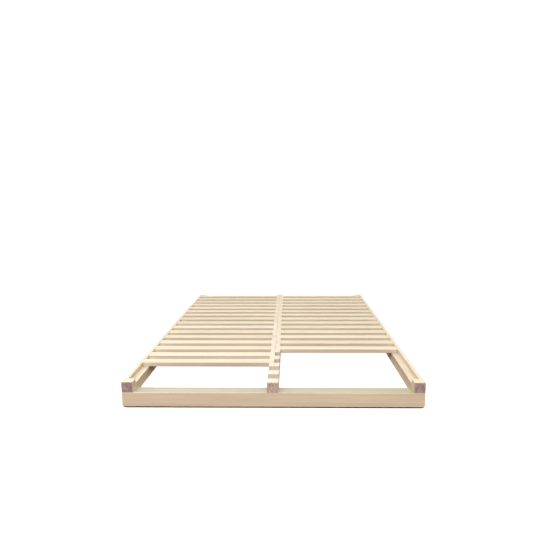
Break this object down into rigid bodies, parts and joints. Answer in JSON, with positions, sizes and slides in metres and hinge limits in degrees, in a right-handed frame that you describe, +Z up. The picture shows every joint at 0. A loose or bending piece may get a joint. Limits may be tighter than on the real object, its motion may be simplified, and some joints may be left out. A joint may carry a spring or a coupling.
{
  "type": "slatted bed frame",
  "caption": "Low wooden bed frame: cross beams under two rabbeted side rails and a notched centre beam, with loose half-width slats that lift out.",
  "frame": {"origin": "middle of the frame's footprint, on the floor", "axes": "+X to the right seen from the front, +Y to the rear along the side rails, +Z up"},
  "size_m": [1.4, 2, 0.129],
  "materials": {
    "beam_wood": "bare planed softwood",
    "slat_wood": "bare planed softwood",
    "dowel_wood": "bare turned hardwood"
  },
  "bodies": {
    "frame": {"cross_beam_front": "beam_wood", "cross_beam_middle": "beam_wood", "cross_beam_rear": "beam_wood", "rail_left": "beam_wood", "rail_right": "beam_wood", "centre_beam": "beam_wood", "dowel_front_left": "dowel_wood", "dowel_front_centre": "dowel_wood", "dowel_front_right": "dowel_wood", "dowel_middle_left": "dowel_wood", "dowel_middle_centre": "dowel_wood", "dowel_middle_right": "dowel_wood", "dowel_rear_left": "dowel_wood", "dowel_rear_centre": "dowel_wood", "dowel_rear_right": "dowel_wood"},
    "slat_left_03": {"slat_left_03": "slat_wood"},
    "slat_left_04": {"slat_left_04": "slat_wood"},
    "slat_left_05": {"slat_left_05": "slat_wood"},
    "slat_left_06": {"slat_left_06": "slat_wood"},
    "slat_left_07": {"slat_left_07": "slat_wood"},
    "slat_left_08": {"slat_left_08": "slat_wood"},
    "slat_left_09": {"slat_left_09": "slat_wood"},
    "slat_left_10": {"slat_left_10": "slat_wood"},
    "slat_left_11": {"slat_left_11": "slat_wood"},
    "slat_left_12": {"slat_left_12": "slat_wood"},
    "slat_left_13": {"slat_left_13": "slat_wood"},
    "slat_left_14": {"slat_left_14": "slat_wood"},
    "slat_left_15": {"slat_left_15": "slat_wood"},
    "slat_left_16": {"slat_left_16": "slat_wood"},
    "slat_left_17": {"slat_left_17": "slat_wood"},
    "slat_left_18": {"slat_left_18": "slat_wood"},
    "slat_right_05": {"slat_right_05": "slat_wood"},
    "slat_right_06": {"slat_right_06": "slat_wood"},
    "slat_right_07": {"slat_right_07": "slat_wood"},
    "slat_right_08": {"slat_right_08": "slat_wood"},
    "slat_right_09": {"slat_right_09": "slat_wood"},
    "slat_right_10": {"slat_right_10": "slat_wood"},
    "slat_right_11": {"slat_right_11": "slat_wood"},
    "slat_right_12": {"slat_right_12": "slat_wood"},
    "slat_right_13": {"slat_right_13": "slat_wood"},
    "slat_right_14": {"slat_right_14": "slat_wood"},
    "slat_right_15": {"slat_right_15": "slat_wood"},
    "slat_right_16": {"slat_right_16": "slat_wood"},
    "slat_right_17": {"slat_right_17": "slat_wood"},
    "slat_right_18": {"slat_right_18": "slat_wood"}
  },
  "joints": [
    {"name": "slat_left_03_lift", "type": "slide", "parent": "frame", "child": "slat_left_03", "axis": [0, 0, 1], "range_m": [0, 0.08]},
    {"name": "slat_left_04_lift", "type": "slide", "parent": "frame", "child": "slat_left_04", "axis": [0, 0, 1], "range_m": [0, 0.08]},
    {"name": "slat_left_05_lift", "type": "slide", "parent": "frame", "child": "slat_left_05", "axis": [0, 0, 1], "range_m": [0, 0.08]},
    {"name": "slat_left_06_lift", "type": "slide", "parent": "frame", "child": "slat_left_06", "axis": [0, 0, 1], "range_m": [0, 0.08]},
    {"name": "slat_left_07_lift", "type": "slide", "parent": "frame", "child": "slat_left_07", "axis": [0, 0, 1], "range_m": [0, 0.08]},
    {"name": "slat_left_08_lift", "type": "slide", "parent": "frame", "child": "slat_left_08", "axis": [0, 0, 1], "range_m": [0, 0.08]},
    {"name": "slat_left_09_lift", "type": "slide", "parent": "frame", "child": "slat_left_09", "axis": [0, 0, 1], "range_m": [0, 0.08]},
    {"name": "slat_left_10_lift", "type": "slide", "parent": "frame", "child": "slat_left_10", "axis": [0, 0, 1], "range_m": [0, 0.08]},
    {"name": "slat_left_11_lift", "type": "slide", "parent": "frame", "child": "slat_left_11", "axis": [0, 0, 1], "range_m": [0, 0.08]},
    {"name": "slat_left_12_lift", "type": "slide", "parent": "frame", "child": "slat_left_12", "axis": [0, 0, 1], "range_m": [0, 0.08]},
    {"name": "slat_left_13_lift", "type": "slide", "parent": "frame", "child": "slat_left_13", "axis": [0, 0, 1], "range_m": [0, 0.08]},
    {"name": "slat_left_14_lift", "type": "slide", "parent": "frame", "child": "slat_left_14", "axis": [0, 0, 1], "range_m": [0, 0.08]},
    {"name": "slat_left_15_lift", "type": "slide", "parent": "frame", "child": "slat_left_15", "axis": [0, 0, 1], "range_m": [0, 0.08]},
    {"name": "slat_left_16_lift", "type": "slide", "parent": "frame", "child": "slat_left_16", "axis": [0, 0, 1], "range_m": [0, 0.08]},
    {"name": "slat_left_17_lift", "type": "slide", "parent": "frame", "child": "slat_left_17", "axis": [0, 0, 1], "range_m": [0, 0.08]},
    {"name": "slat_left_18_lift", "type": "slide", "parent": "frame", "child": "slat_left_18", "axis": [0, 0, 1], "range_m": [0, 0.08]},
    {"name": "slat_right_05_lift", "type": "slide", "parent": "frame", "child": "slat_right_05", "axis": [0, 0, 1], "range_m": [0, 0.08]},
    {"name": "slat_right_06_lift", "type": "slide", "parent": "frame", "child": "slat_right_06", "axis": [0, 0, 1], "range_m": [0, 0.08]},
    {"name": "slat_right_07_lift", "type": "slide", "parent": "frame", "child": "slat_right_07", "axis": [0, 0, 1], "range_m": [0, 0.08]},
    {"name": "slat_right_08_lift", "type": "slide", "parent": "frame", "child": "slat_right_08", "axis": [0, 0, 1], "range_m": [0, 0.08]},
    {"name": "slat_right_09_lift", "type": "slide", "parent": "frame", "child": "slat_right_09", "axis": [0, 0, 1], "range_m": [0, 0.08]},
    {"name": "slat_right_10_lift", "type": "slide", "parent": "frame", "child": "slat_right_10", "axis": [0, 0, 1], "range_m": [0, 0.08]},
    {"name": "slat_right_11_lift", "type": "slide", "parent": "frame", "child": "slat_right_11", "axis": [0, 0, 1], "range_m": [0, 0.08]},
    {"name": "slat_right_12_lift", "type": "slide", "parent": "frame", "child": "slat_right_12", "axis": [0, 0, 1], "range_m": [0, 0.08]},
    {"name": "slat_right_13_lift", "type": "slide", "parent": "frame", "child": "slat_right_13", "axis": [0, 0, 1], "range_m": [0, 0.08]},
    {"name": "slat_right_14_lift", "type": "slide", "parent": "frame", "child": "slat_right_14", "axis": [0, 0, 1], "range_m": [0, 0.08]},
    {"name": "slat_right_15_lift", "type": "slide", "parent": "frame", "child": "slat_right_15", "axis": [0, 0, 1], "range_m": [0, 0.08]},
    {"name": "slat_right_16_lift", "type": "slide", "parent": "frame", "child": "slat_right_16", "axis": [0, 0, 1], "range_m": [0, 0.08]},
    {"name": "slat_right_17_lift", "type": "slide", "parent": "frame", "child": "slat_right_17", "axis": [0, 0, 1], "range_m": [0, 0.08]},
    {"name": "slat_right_18_lift", "type": "slide", "parent": "frame", "child": "slat_right_18", "axis": [0, 0, 1], "range_m": [0, 0.08]}
  ]
}
